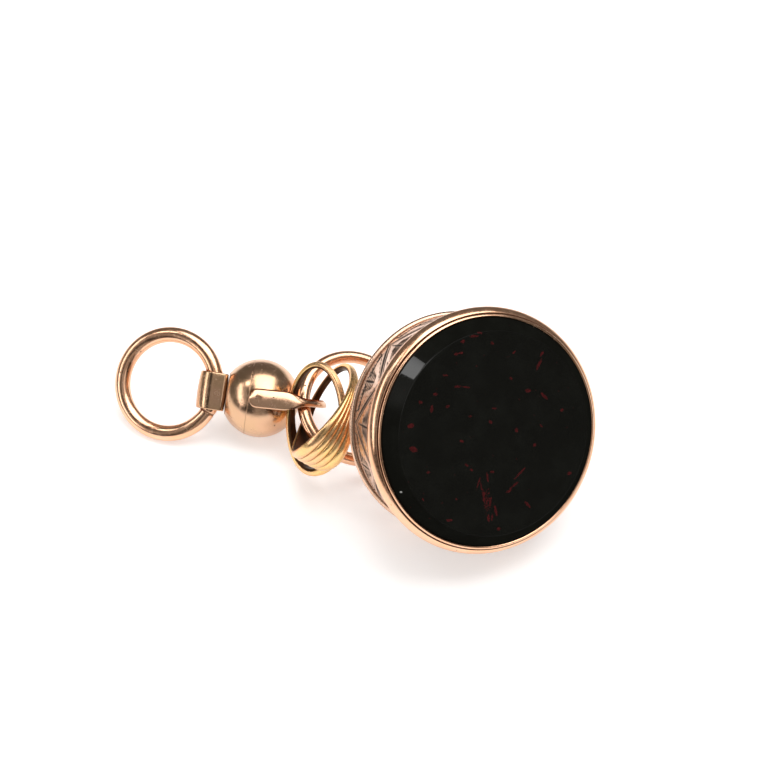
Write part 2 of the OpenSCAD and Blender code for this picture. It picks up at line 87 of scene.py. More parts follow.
def meshFromGrid(name, grid, capped=False, fields=None):
    # A surface from rows of points; each row is a closed loop. The rows close on each other or, if capped,
    # the first and the last row each close on a point in their middle. Turned outwards by the sign of the
    # enclosed volume.
    rows, cols = grid.shape[:2]
    points, triangles = grid.reshape(-1, 3) * mm, np.zeros((0, 3), int)
    number = np.arange(rows * cols).reshape(rows, cols)
    lower, upper = (number[:-1], number[1:]) if capped else (number, np.roll(number, -1, 0))
    quads = np.stack([lower, np.roll(lower, -1, 1), np.roll(upper, -1, 1), upper], -1).reshape(-1, 4)
    if capped:
        fans = [np.stack([np.full(cols, len(points) + end), np.roll(number[-end], -1), number[-end]], -1)
                for end in (0, 1)]
        triangles = np.vstack([fans[0], fans[1][:, ::-1]])
        points = np.vstack([points, [grid[0].mean(0) * mm, grid[-1].mean(0) * mm]])
    q, t = points[quads], points[triangles]
    volume = np.einsum("ij,ij->", q[:, 0], np.cross(q[:, 1], q[:, 2]) + np.cross(q[:, 2], q[:, 3]))
    volume += np.einsum("ij,ij->", t[:, 0], np.cross(t[:, 1], t[:, 2]))
    if volume < 0:
        quads, triangles = quads[:, ::-1], triangles[:, ::-1]
    corners = np.concatenate([quads.ravel(), triangles.ravel()]).astype(np.int32)
    starts = np.concatenate([np.arange(len(quads)) * 4, len(quads) * 4 + np.arange(len(triangles)) * 3])
    mesh = bpy.data.meshes.new(name)
    mesh.vertices.add(len(points))
    mesh.vertices.foreach_set("co", points.astype(np.float32).ravel())
    mesh.loops.add(len(corners))
    mesh.loops.foreach_set("vertex_index", corners)
    mesh.polygons.add(len(starts))
    mesh.polygons.foreach_set("loop_start", starts.astype(np.int32))
    mesh.polygons.foreach_set("use_smooth", np.ones(len(starts), bool))
    mesh.update(calc_edges=True)
    for field, values in dict({"recess": np.zeros((rows, cols))}, **(fields or {})).items():
        values = np.broadcast_to(values, (rows, cols))
        tipValues = [values[0].mean(), values[-1].mean()] if capped else []
        held = mesh.attributes.new(field, "FLOAT", "POINT")
        held.data.foreach_set("value", np.concatenate([values.ravel(), tipValues]).astype(np.float32))
    return mesh


def addPiece(name, grid, place, body, slot, look, nodes=(), **how):
    # Puts a surface in its place, gives it its finish and makes it ride on its body.
    piece = bpy.data.objects.new(name, meshFromGrid(name, inPlace(grid, place), **how))
    bpy.context.scene.collection.objects.link(piece)
    piece.data.materials.append(finish[look])
    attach(piece, body)
    if nodes:
        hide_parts(*nodes)
    return piece


def walked(corners, step, soft, closed=True):
    # Walks along an outline at equal steps and blurs it with a bell curve, so that each corner is rounded
    # by about the width soft.
    c = np.array(corners, float)
    if closed:
        c = np.vstack([c, c[:1]])
    run = np.concatenate([[0], np.cumsum(np.linalg.norm(np.diff(c, axis=0), axis=1))])
    at = np.linspace(0, run[-1], int(run[-1] / step), endpoint=not closed)
    p = np.stack([np.interp(at, run, c[:, 0]), np.interp(at, run, c[:, 1])], 1)
    reach = int(3 * soft / step) + 1
    bell = np.exp(-0.5 * (np.arange(-reach, reach + 1) * step / soft) ** 2)
    if closed:
        p = np.concatenate([p[-reach:], p, p[:reach]])
    else:
        p = np.concatenate([2 * p[0] - p[reach:0:-1], p, 2 * p[-1] - p[-2:-reach - 2:-1]])
    return np.stack([np.convolve(p[:, i], bell / bell.sum(), "valid") for i in (0, 1)], 1)


def turned(profile, around):
    # A turned surface: each point (r, z) of the profile goes round the axis, (r cos a, r sin a, z).
    a = fullTurn(around)
    r, z = profile[:, :1], profile[:, 1:]
    return np.stack([r * np.cos(a), r * np.sin(a), z + 0 * a], -1)


def wireRing(radius, wire, along, around):
    # A wire bent to a ring: wire(turn, roll) is the wire's radius at the place turn along it and roll
    # round it, and the point is ((R + w cos roll) cos turn, (R + w cos roll) sin turn, w sin roll).
    turn = fullTurn(along)[:, None]
    roll = fullTurn(around)[None, :]
    w = wire(turn, roll)
    return np.stack([(radius + w * np.cos(roll)) * np.cos(turn), (radius + w * np.cos(roll)) * np.sin(turn),
                     w * np.sin(roll)], -1)


def band(path, normal, half, low, high, edge, crown=0.0, lean=0.0, steps=6, margin=0.03):
    # A band along a path in the x-y plane: across is z, rise is along the normal. Its section is a box of
    # half width half from low to high, with corners rounded to edge and its outer side crowned, lower by
    # crown (across / half - lean)^2; one row for each path point.
    half, low, high, edge = (np.broadcast_to(np.asarray(v, float), len(path))[:, None]
                             for v in (half, low, high, edge))
    edge = np.minimum(edge, 0.9 * np.minimum(half, (high - low) / 2))
    quarter = np.repeat(np.arange(4), steps + 6)
    share = np.tile(np.concatenate([[0, 0, 0], np.linspace(0, 1, steps), [1, 1, 1]]), 4)
    slide = np.tile(np.concatenate([[-9, -4, -1], np.zeros(steps), [1, 4, 9]]), 4) * margin
    angle = (quarter + share) * np.pi / 2
    side, top = np.where((quarter == 0) | (quarter == 3), 1, -1), np.where(quarter < 2, 1, -1)
    flatAcross, flatRise = half - edge, (high - low) / 2 - edge
    reach = np.sign(slide) * (1 - np.exp(-np.abs(slide) / margin / 5))
    across = side * flatAcross + edge * np.cos(angle) - reach * flatAcross * 0.95 * np.sin(angle)
    rise = (low + high) / 2 + top * flatRise + edge * np.sin(angle) + reach * flatRise * 0.95 * np.cos(angle)
    rise = rise - crown * (across / half - lean) ** 2 * (rise > (low + high) / 2)
    flat = path[:, None, :] + rise[..., None] * normal[:, None, :]
    return np.concatenate([flat, across[..., None]], -1)


def pathNormal(path, closed):
    # Outward normal of a path: its direction by central differences, turned a quarter.
    if closed:
        way = np.roll(path, -1, 0) - np.roll(path, 1, 0)
    else:
        way = np.gradient(path, axis=0)
    return unit(np.stack([way[:, 1], -way[:, 0]], 1))


def wander(turn, seed, size):
    # A slow unevenness: a few sine waves round the piece, from a fixed seed.
    dice = np.random.default_rng(seed)
    total = 0 * turn
    for waves in (2, 3, 5, 8, 13):
        total = total + dice.uniform(0.3, 1) / waves * np.sin(waves * turn + dice.uniform(0, 6.28))
    return size * total


# Finishes

def linkUp(tree, *pairs):
    for source, target in pairs:
        tree.links.new(source, target)


def addNode(tree, kind, inputs=None, **settings):
    made = tree.nodes.new(kind)
    for name, value in settings.items():
        setattr(made, name, value)
    for name, value in (inputs or {}).items():
        made.inputs[name].default_value = value
    return made


def mathNode(tree, operation, first, second, third=None, clamp=False):
    made = addNode(tree, "ShaderNodeMath", operation=operation, use_clamp=clamp)
    for spot, value in enumerate((first, second, third)):
        if value is None:
            continue
        if isinstance(value, (int, float)):
            made.inputs[spot].default_value = value
        else:
            tree.links.new(value, made.inputs[spot])
    return made.outputs[0]


def times(tree, first, second, clamp=False):
    return mathNode(tree, "MULTIPLY", first, second, clamp=clamp)


def timesPlus(tree, first, second, third, clamp=False):
    return mathNode(tree, "MULTIPLY_ADD", first, second, third, clamp)


def highest(tree, *values):
    top = values[0]
    for value in values[1:]:
        top = mathNode(tree, "MAXIMUM", top, value)
    return top


def between(tree, value, low, high, toLow=0.0, toHigh=1.0):
    made = addNode(tree, "ShaderNodeMapRange", {"From Min": low, "From Max": high, "To Min": toLow, "To Max": toHigh},
                   interpolation_type="SMOOTHSTEP")
    tree.links.new(value, made.inputs["Value"])
    return made.outputs["Result"]


def mixColours(tree, share, first, second):
    made = addNode(tree, "ShaderNodeMix", data_type="RGBA", blend_type="MIX")
    for spot, value in ((0, share), (6, first), (7, second)):
        if isinstance(value, (int, float, tuple)):
            made.inputs[spot].default_value = value
        else:
            tree.links.new(value, made.inputs[spot])
    return made.outputs[2]


def fieldOf(tree, name):
    # A mesh's own field, such as recess, that is worked out with its shape.
    return addNode(tree, "ShaderNodeAttribute", attribute_name=name).outputs["Fac"]


def objectInMm(tree):
    scaled = addNode(tree, "ShaderNodeVectorMath", operation="SCALE")
    scaled.inputs["Scale"].default_value = 1 / mm
    tree.links.new(addNode(tree, "ShaderNodeTexCoord").outputs["Object"], scaled.inputs[0])
    return scaled.outputs[0]


def noise(tree, where, scale, detail=3.0, rough=0.5, lean=None):
    if lean:
        turn = addNode(tree, "ShaderNodeMapping", {"Rotation": lean[0], "Scale": lean[1]})
        tree.links.new(where, turn.inputs["Vector"])
        where = turn.outputs[0]
    made = addNode(tree, "ShaderNodeTexNoise", {"Scale": scale, "Detail": detail, "Roughness": rough})
    tree.links.new(where, made.inputs["Vector"])
    return made.outputs["Fac"]


# How many of each mark there are to a millimetre, how deep the marks are in metres at full height, what
# share of that each takes, and how much the smears, scratches and the dark colour in the recesses, which is dirt and
# painted shade, roughen the metal.
marks = {"drift": 0.4, "smear": 1.6, "grain": 14, "scratch": 2.2, "pit": 1.1, "depth": 0.000012,
         "grainShare": 0.1, "smearShare": 0.6, "scratchShare": -0.12, "pitShare": -1.6,
         "smearRough": 0.09, "scratchRough": 0.12, "shadeAndDirtRough": 0.4, "scratchTone": 0.12}
scratchWays = (((0.3, 0.9, 0.2), (16, 0.7, 0.7)), ((1.1, 0.2, 1.4), (0.6, 14, 0.6)), ((0.2, 0.5, 2.2), (0.5, 0.5, 18)))


def wornMetalGroup():
    # Polished metal that has been handled: slow drift of colour, smears, hair scratches in three
    # directions, small pits, and a dark colour in the recesses and pits, which is dirt and, in places, painted shade.
    # Coordinates are object ones, in mm.
    tree = bpy.data.node_groups.new("wornMetal", "ShaderNodeTree")
    gold, shadeAndDirtTone = (0.8, 0.5, 0.3, 1), (0.1, 0.05, 0.02, 1)
    for name, kind, start in (("Metal", "Color", gold), ("Second tone", "Color", gold), ("Shade and dirt", "Color", shadeAndDirtTone),
                              ("Base roughness", "Float", 0.15), ("Wear", "Float", 1.0), ("Shade and dirt amount", "Float", 1.0)):
        tree.interface.new_socket(name, in_out="INPUT", socket_type="NodeSocket" + kind).default_value = start
    for name, kind in (("Color", "Color"), ("Metallic", "Float"), ("Roughness", "Float"), ("Normal", "Vector")):
        tree.interface.new_socket(name, in_out="OUTPUT", socket_type="NodeSocket" + kind)
    given, result = addNode(tree, "NodeGroupInput").outputs, addNode(tree, "NodeGroupOutput").inputs
    where, recess = objectInMm(tree), fieldOf(tree, "recess")
    drift = noise(tree, where, marks["drift"], 3)
    smear = noise(tree, where, marks["smear"], 6, 0.62)
    grain = noise(tree, where, marks["grain"], 4, 0.6)
    scratches = highest(tree, *(between(tree, noise(tree, where, marks["scratch"], 2, 0.5, lean), 0.68, 0.74)
                                for lean in scratchWays))
    scratches = times(tree, scratches, between(tree, smear, 0.42, 0.62))
    cells = addNode(tree, "ShaderNodeTexVoronoi", {"Scale": marks["pit"], "Randomness": 1.0})
    tree.links.new(where, cells.inputs["Vector"])
    pits = times(tree, between(tree, cells.outputs["Distance"], 0.1, 0.055), between(tree, drift, 0.5, 0.56))
    shadeAndDirt = highest(tree, recess, times(tree, pits, 0.8))
    shadeAndDirt = times(tree, shadeAndDirt, given["Shade and dirt amount"], clamp=True)
    shadeAndDirt = times(tree, shadeAndDirt, between(tree, grain, 0.15, 0.5, 0.6, 1.0), clamp=True)
    tone = mixColours(tree, between(tree, drift, 0.35, 0.65), given["Metal"], given["Second tone"])
    tone = mixColours(tree, times(tree, scratches, marks["scratchTone"]), tone, (1, 0.95, 0.88, 1))
    linkUp(tree, (mixColours(tree, shadeAndDirt, tone, given["Shade and dirt"]), result["Color"]),
           (between(tree, shadeAndDirt, 0.2, 0.9, 1.0, 0.1), result["Metallic"]))
    smeared = between(tree, smear, 0.3, 0.75, -0.35, 1.0)
    roughness = timesPlus(tree, smeared, marks["smearRough"], given["Base roughness"])
    scored = times(tree, scratches, given["Wear"])
    roughness = timesPlus(tree, scored, marks["scratchRough"], roughness)
    roughness = timesPlus(tree, shadeAndDirt, marks["shadeAndDirtRough"], roughness, clamp=True)
    linkUp(tree, (roughness, result["Roughness"]))
    height = times(tree, smear, marks["smearShare"])
    for mark, share in ((grain, "grainShare"), (scratches, "scratchShare"), (pits, "pitShare")):
        height = timesPlus(tree, mark, marks[share], height)
    bump = addNode(tree, "ShaderNodeBump", {"Strength": 1.0, "Distance": marks["depth"]})
    linkUp(tree, (height, bump.inputs["Height"]), (bump.outputs["Normal"], result["Normal"]))
    return tree


def newMaterial(name):
    made = bpy.data.materials.new(name)
    made.use_nodes = True
    return made, made.node_tree, made.node_tree.nodes["Principled BSDF"]


metals = {
    "roseGold": {"Metal": (0.86, 0.47, 0.28, 1), "Second tone": (0.85, 0.51, 0.33, 1), "Shade and dirt": (0.08, 0.034, 0.016, 1),
                 "Base roughness": 0.19, "Wear": 1.0, "Shade and dirt amount": 1.0},
    "wallGold": {"Metal": (0.76, 0.49, 0.35, 1), "Second tone": (0.66, 0.42, 0.29, 1), "Shade and dirt": (0.014, 0.008, 0.006, 1),
                 "Base roughness": 0.26, "Wear": 1.3, "Shade and dirt amount": 1.0},
    "yellowGold": {"Metal": (0.90, 0.57, 0.23, 1), "Second tone": (0.88, 0.52, 0.27, 1), "Shade and dirt": (0.13, 0.05, 0.012, 1),
                   "Base roughness": 0.25, "Wear": 0.9, "Shade and dirt amount": 0.9},
    "paleGold": {"Metal": (0.62, 0.385, 0.225, 1), "Second tone": (0.68, 0.41, 0.26, 1), "Shade and dirt": (0.06, 0.03, 0.016, 1),
                 "Base roughness": 0.2, "Wear": 0.5, "Shade and dirt amount": 1.0},
    # The lining's near-black colour is painted shade, standing in for the dark inside of the links.
    "paintedShadeLining": {"Metal": (0.10, 0.048, 0.022, 1), "Second tone": (0.06, 0.028, 0.014, 1),
                   "Shade and dirt": (0.02, 0.01, 0.006, 1), "Base roughness": 0.36, "Wear": 1.0, "Shade and dirt amount": 1.0},
    "steel": {"Metal": (0.50, 0.50, 0.50, 1), "Second tone": (0.42, 0.41, 0.40, 1), "Shade and dirt": (0.08, 0.05, 0.03, 1),
              "Base roughness": 0.3, "Wear": 1.0, "Shade and dirt amount": 1.0},
}
# The dark colour in the recesses, dirt and painted shade alike, is no metal; the low level keeps it dark.
metalSpecular = 0.15  # low, so that dirt, which is no metal, stays dark
wornMetal = wornMetalGroup()


def metalMaterial(name):
    made, tree, shader = newMaterial(name)
    wear = addNode(tree, "ShaderNodeGroup", node_tree=wornMetal)
    for socket, value in metals[name].items():
        wear.inputs[socket].default_value = value
    shader.inputs["Specular IOR Level"].default_value = metalSpecular
    for given, socket in (("Color", "Base Color"), ("Metallic",) * 2, ("Roughness",) * 2, ("Normal",) * 2):
        linkUp(tree, (wear.outputs[given], shader.inputs[socket]))
    return made


stoneFinish = {"body": (0.0062, 0.0062, 0.0050, 1), "cloud": (0.0082, 0.0084, 0.0068, 1),
               "red": (0.072, 0.0095, 0.010, 1), "deepRed": (0.030, 0.0055, 0.0055, 1),
               "glintChip": (0.34, 0.34, 0.32, 1), "roughness": 0.06, "ior": 1.54, "specular": 0.32, "reflectionCutSpecular": 0.0,
               "fine": 7, "coarse": 0.5, "dust": 3.4, "dustShare": 0.4, "rub": 1.3, "depth": 0.000004}


def bloodstoneMaterial():
    # Near-black green jasper with clouds; the field fleck fades away from the middle of each red spot, and
    # fine noise breaks it up into crisp ragged spots. A light grey spot at a chip on the rim is a painted glint.
    # On the bevel, outside one stretch, the specular level falls to nothing: painted shade that takes its reflections
    # away.
    f = stoneFinish
    made, tree, shader = newMaterial("bloodstone")
    where, fleck, glintChip, reflectionCut = objectInMm(tree), fieldOf(tree, "fleck"), fieldOf(tree, "glintChip"), fieldOf(tree, "reflectionCut")
    fine, coarse = noise(tree, where, f["fine"], 3, 0.6), noise(tree, where, f["coarse"], 5, 0.6)
    ragged = timesPlus(tree, fine, 0.9, mathNode(tree, "ADD", fleck, -0.45))
    mask = between(tree, ragged, 0.36, 0.5)
    dust = between(tree, noise(tree, where, f["dust"], 2, 0.5), 0.735, 0.755)
    mask = highest(tree, mask, times(tree, dust, f["dustShare"]))
    body = mixColours(tree, between(tree, coarse, 0.4, 0.7), f["body"], f["cloud"])
    red = mixColours(tree, between(tree, fine, 0.35, 0.65), f["deepRed"], f["red"])
    colour = mixColours(tree, mask, body, red)
    colour = mixColours(tree, between(tree, glintChip, 0.45, 0.6), colour, f["glintChip"])
    linkUp(tree, (colour, shader.inputs["Base Color"]))
    rub = noise(tree, where, f["rub"], 6, 0.65)
    rub = between(tree, rub, 0.45, 0.75, f["roughness"] - 0.02, f["roughness"] + 0.05)
    linkUp(tree, (rub, shader.inputs["Roughness"]))
    shader.inputs["IOR"].default_value = f["ior"]
    linkUp(tree, (between(tree, reflectionCut, 0, 1, f["specular"], f["reflectionCutSpecular"]), shader.inputs["Specular IOR Level"]))
    bump = addNode(tree, "ShaderNodeBump", {"Strength": 0.6, "Distance": f["depth"]})
    linkUp(tree, (coarse, bump.inputs["Height"]), (bump.outputs["Normal"], shader.inputs["Normal"]))
    return made


cementFinish = {"dark": (0.10, 0.02, 0.012, 1), "light": (0.20, 0.05, 0.03, 1), "lumps": 0.9, "roughness": 0.85,
                "depth": 0.00005}


def cementMaterial():
    made, tree, shader = newMaterial("cement")
    c = cementFinish
    lumps = noise(tree, objectInMm(tree), c["lumps"], 6, 0.7)
    linkUp(tree, (mixColours(tree, lumps, c["dark"], c["light"]), shader.inputs["Base Color"]))
    shader.inputs["Roughness"].default_value = c["roughness"]
    bump = addNode(tree, "ShaderNodeBump", {"Strength": 0.7, "Distance": c["depth"]})
    linkUp(tree, (lumps, bump.inputs["Height"]), (bump.outputs["Normal"], shader.inputs["Normal"]))
    return made


finish = {name: metalMaterial(name) for name in metals}
finish["bloodstone"], finish["cement"] = bloodstoneMaterial(), cementMaterial()
print("finishes made:", len(finish))

# The seal head

# Red spots and veins on the table, as the photograph shows them: x, y, half length, half width in mm,
# turn in degrees and strength.
flecks = [
    (-5.6, 2.75, 1.5, 0.6, 165, 0.41), (-4.9, 2.85, 0.7, 0.13, 168, 0.75), (-5.6, 2.4, 0.5, 0.16, 158, 0.7),
    (-6.6, 2.2, 0.6, 0.13, 172, 0.8), (-4.9, 2.5, 0.9, 0.45, 150, 0.39), (-4.0, 2.75, 0.5, 0.07, 172, 0.8),
    (-7.0, 2.7, 0.4, 0.13, 150, 0.62), (-3.5, 1.9, 0.45, 0.1, 170, 0.8), (-3.6, 2.9, 0.6, 0.08, 140, 0.7),
    (-7.0, 3.1, 0.35, 0.12, 165, 0.8), (-4.4, -1.2, 0.7, 0.09, 112, 0.9), (-5.2, -0.3, 0.6, 0.09, 105, 0.85),
    (-5.5, 0.4, 0.3, 0.1, 90, 0.8), (4.1, -6.3, 0.55, 0.12, 134, 0.9), (4.9, -6.9, 0.3, 0.1, 120, 0.85),
    (5.4, 1.8, 0.35, 0.1, 70, 0.9), (5.0, 1.0, 0.4, 0.08, 60, 0.8), (9.0, -1.3, 0.4, 0.1, 73, 0.9),
    (9.05, -1.9, 0.25, 0.09, 60, 0.8), (8.2, 0.9, 0.22, 0.12, 67, 0.85), (8.1, 0.4, 0.22, 0.1, 67, 0.8),
    (1.8, 7.7, 0.34, 0.2, 45, 1.1), (3.9, 7.2, 0.3, 0.19, 78, 1.1), (1.2, -5.8, 0.42, 0.12, -154, 0.95),
    (-7.4, -0.9, 0.42, 0.12, -158, 0.8), (4.5, 4.8, 0.3, 0.14, 151, 0.95), (-5.6, 6.7, 0.3, 0.11, 66, 0.85),
    (2.3, -4.5, 0.24, 0.15, 70, 1.05), (-8.3, 2.5, 0.2, 0.14, 93, 0.85), (9.0, -0.1, 0.22, 0.12, 68, 1.0),
    (-0.6, -2.2, 0.2, 0.15, 172, 0.9), (5.6, 4.0, 0.2, 0.13, 68, 0.9), (5.5, 5.6, 0.18, 0.14, 55, 0.95),
    (-6.4, -5.7, 0.22, 0.13, 66, 0.95), (-3.2, 1.3, 0.2, 0.12, 70, 0.85), (7.7, -2.7, 0.18, 0.12, -144, 0.85),
    (4.1, 3.3, 0.18, 0.12, 90, 0.9), (-0.7, -7.0, 0.18, 0.13, 88, 0.9), (1.1, -0.1, 0.2, 0.12, -144, 0.9),
    (-2.6, -3.4, 0.18, 0.13, 88, 0.9), (0.6, 3.1, 0.18, 0.12, 54, 0.85), (-0.7, 7.1, 0.18, 0.12, 82, 0.75),
    (-2.8, 8.4, 0.16, 0.11, -166, 0.7), (6.8, 2.5, 0.3, 0.08, 62, 0.75), (-1.6, 3.4, 0.18, 0.11, -146, 0.8),
    (4.0, -3.3, 0.18, 0.11, -140, 0.9), (2.4, 1.6, 0.2, 0.12, 57, 0.7), (-2.2, 3.1, 0.18, 0.1, 52, 0.8),
    (2.1, -0.9, 0.26, 0.08, 66, 0.85), (-1.2, -4.6, 0.2, 0.08, 20, 0.7), (6.1, -4.4, 0.2, 0.08, 110, 0.75),
    (-4.1, 5.4, 0.15, 0.08, 30, 0.65), (6.4, -0.6, 0.14, 0.08, 80, 0.7),
]
stoneSizes = {"radius": 10.36, "tableHeight": 1.28, "bevelWidth": 1.04, "depth": 1.5, "edgeSoft": 0.035, "step": 0.06,
              "plainTo": 11.7, "around": 544, "tableRings": 104, "margin": 1.2,
              "glintChipAt": (-1.55, 9.85), "glintChipRadius": 0.2, "reflectionKeptFrom": (12, 34), "reflectionKeptTo": (42, 60)}


def stoneGrid():
    # Turned profile: centre of the back, girdle, bevel and table; the table gets extra rings, so that the
    # field of the red spots has points enough to follow.
    s = stoneSizes
    rim = s["radius"] - s["bevelWidth"]
    outline = walked([(0, -s["depth"]), (s["radius"], -s["depth"]), (s["radius"], 0), (rim, s["tableHeight"]),
                      (rim - s["margin"], s["tableHeight"])], s["step"], s["edgeSoft"], closed=False)[1:]
    plain = int(s["plainTo"] / s["step"])
    outline = outline[np.concatenate([np.arange(0, plain, 8), np.arange(plain, len(outline))])]
    table = np.stack([np.linspace(outline[-1, 0], 0.05, s["tableRings"])[1:],
                      np.full(s["tableRings"] - 1, s["tableHeight"])], 1)
    grid = turned(np.vstack([outline, table]), s["around"])
    x, y, z = grid[..., 0], grid[..., 1], grid[..., 2]
    field = np.zeros(x.shape)
    for fx, fy, long, wide, turn, strength in flecks:
        c, t = math.cos(math.radians(turn)), math.sin(math.radians(turn))
        dx, dy = x - fx, y - fy
        far = np.hypot((dx * c + dy * t) / long, (dy * c - dx * t) / wide)
        field = np.maximum(field, strength * np.clip(1.25 - 0.75 * far, 0, 1))
    # A chip on the rim, given a light grey spot as a painted glint.
    glintChip = np.clip(1 - np.hypot(x - s["glintChipAt"][0], y - s["glintChipAt"][1]) / s["glintChipRadius"], 0, 1)
    top = smoothStep(0.9, 1.2, z)
    # Painted shade: the bevel's reflections are cut everywhere but a stretch at the upper left, where the window lamp
    # shows in it.
    turn = np.degrees(np.arctan2(y, x))
    reflectionKept = smoothStep(*s["reflectionKeptFrom"], turn) * smoothStep(*s["reflectionKeptTo"][::-1], turn)
    reflectionCut = smoothStep(rim - 0.07, rim, np.hypot(x, y)) * (1 - reflectionKept)
    return grid, {"fleck": field * top, "glintChip": glintChip, "reflectionCut": reflectionCut}


grid, fields = stoneGrid()
addPiece("stoneVisual", grid, "seal", "seal", "bloodstone", "bloodstone", ["stone"], capped=True, fields=fields)

bezelSizes = {"bore": 10.68, "grooveOut": 10.76, "grooveDepth": 0.22, "lipRadius": 11.25, "lipDrop": 1.1,
              "lipBack": 2.0, "backRadius": 10.95, "collarIn": 10.37, "collarOut": 10.67,
              "collarHeight": 0.12, "collarBack": 1.5, "around": 560}


def bezelGrids():
    # Two turned profiles: the collar burnished against the stone, and the rolled lip with the groove
    # inside it. Both waver a little, as work closed down by hand does.
    b = bezelSizes
    collar = walked([(b["collarIn"], -b["collarBack"]), (b["collarOut"], -b["collarBack"]), (b["collarOut"], -0.02),
                     ((b["collarIn"] + b["collarOut"]) / 2, b["collarHeight"]), (b["collarIn"], 0.05)], 0.035, 0.03)
    middle = b["lipRadius"] - b["lipDrop"]
    a = np.linspace(0, math.acos((b["grooveOut"] - middle) / b["lipDrop"]), 24)
    arc = np.stack([middle + b["lipDrop"] * np.cos(a), b["lipDrop"] * (np.sin(a) - 1)], 1)
    lip = walked(np.vstack([[(b["bore"], -b["lipBack"]), (b["backRadius"], -b["lipBack"])], arc,
                            [(b["grooveOut"], -b["grooveDepth"]), (b["bore"], -b["grooveDepth"])]]), 0.05, 0.035)
    made = []
    for profile, size in ((collar, 0.012), (lip, 0.016)):
        grid = turned(profile, b["around"])
        turn = fullTurn(b["around"])[None, :]
        rise = smoothStep(-1.4, 0, profile[:, 1:])
        grid[..., 2] += wander(turn, 4, size) * rise
        made.append(grid)
    # Darker in the groove; on the lip's back face, where it steps in to the wall, the darkening is painted shade.
    deep = smoothStep(-0.1, -0.2, lip[:, 1:]) * (lip[:, :1] < b["grooveOut"] + 0.01)
    behind = smoothStep(-1.75, -2.0, lip[:, 1:])
    return made[0], made[1], np.maximum(deep, 0.6 * behind)


collarGrid, lipGrid, lipRecess = bezelGrids()
addPiece("collarVisual", collarGrid, "seal", "seal", "rose_gold", "roseGold", ["stone_collar"])
addPiece("lipVisual", lipGrid, "seal", "seal", "rose_gold", "roseGold", ["bezel_lip"], fields={"recess": lipRecess})

wallSizes = {"frontRadius": 10.75, "backRadius": 9.8, "front": -2.0, "length": 5.5, "sheet": 0.45, "panels": 8,
             "panelTurn": 66.5, "across": 120, "rows": 82, "halfPanel": 4.05, "graver": 1.9, "bite": 1.25}
# Graver strokes of one panel: start, pull and end in mm (across from the panel's middle, back from the
# lip), half width and depth. A pointed panel with its tip at the back, a leaf in it, sprays between.
wallStrokes = (
    [((s * 4.0, 0.15), (s * 2.0, 2.6), (0, 5.15), 0.13, 0.09) for s in (-1, 1)]
    + [((s * 3.45, 0.25), (s * 1.75, 2.3), (0, 4.55), 0.08, 0.06) for s in (-1, 1)]
    + [((0, 0.35), (0.05, 2), (0, 3.9), 0.08, 0.07)]
    + [((0, 0.55 + 0.42 * i), (s * (0.9 - 0.06 * i), 0.35 + 0.42 * i), (s * (2.1 - 0.27 * i), 0.5 + 0.36 * i),
        0.11, 0.1) for i in range(6) for s in (-1, 1)]
    + [((s * 2.75, 0.35), (s * 2.3, 0.6), (s * 2.0, 1.3), 0.08, 0.06) for s in (-1, 1)]
    + [((s * (3.75 - 0.32 * i), 4.9 - 0.1 * i), (s * (3.5 - 0.4 * i), 4.2), (s * (3.15 - 0.42 * i), 3.75 + 0.3 * i),
        0.09, 0.07) for i in range(6) for s in (-1, 1)]
    + [((s * 4.05, 5.1), (s * 4.0, 3.5), (s * 4.05, 2.0), 0.08, 0.07) for s in (-1, 1)]
    + [((s * 4.0, 2.3 + 0.55 * i), (s * (3.55 - 0.05 * i), 2.2 + 0.55 * i), (s * (3.35 - 0.18 * i), 2.75 + 0.5 * i),
        0.1, 0.08) for i in range(5) for s in (-1, 1)]
    + [((s * (3.95 - 0.42 * i), 0.42 + 0.62 * i), (s * (4.0 - 0.44 * i), 0.75 + 0.62 * i),
        (s * (3.62 - 0.42 * i), 0.95 + 0.62 * i), 0.05, 0.05) for i in range(7) for s in (-1, 1)]
    + [((s * (3.1 - 0.4 * i), 5.0), (s * (3.3 - 0.4 * i), 4.6), (s * (3.0 - 0.4 * i), 4.45), 0.05, 0.05)
       for i in range(6) for s in (-1, 1)]
    + [((-4.05, z), (0, z), (4.05, z), 0.06, 0.05) for z in (0.06, 5.32)]
)


def engraving():
    # Depth of the cuts on one panel: distance from each point of the panel to each stroke (a bent line
    # cut into short lengths), with a V section; the deepest stroke counts.
    w = wallSizes
    across = (np.arange(w["across"]) / w["across"] * 2 - 1) * w["halfPanel"]
    back = np.linspace(0, w["length"], w["rows"])
    point = np.stack(np.meshgrid(across, back), -1)
    depth = np.zeros(point.shape[:2])
    t = np.linspace(0, 1, 10)[:, None]
    for start, pull, end, half, deep in wallStrokes:
        half, deep = half * w["graver"], deep * w["bite"]
        line = (1 - t) ** 2 * np.array(start) + 2 * t * (1 - t) * np.array(pull) + t ** 2 * np.array(end)
        a, d = line[:-1], np.diff(line, axis=0)
        away = point[:, :, None, :] - a
        along = np.clip((away * d).sum(-1) / (d * d).sum(-1), 0, 1)
        gap = np.linalg.norm(away - along[..., None] * d, axis=-1)
        taper = 0.45 + 0.55 * np.sin(np.pi * np.clip((np.arange(9) + along) / 9, 0.04, 0.96))
        depth = np.maximum(depth, (deep * np.clip(1 - gap / (half * taper), 0, 1)).max(-1))
    return depth


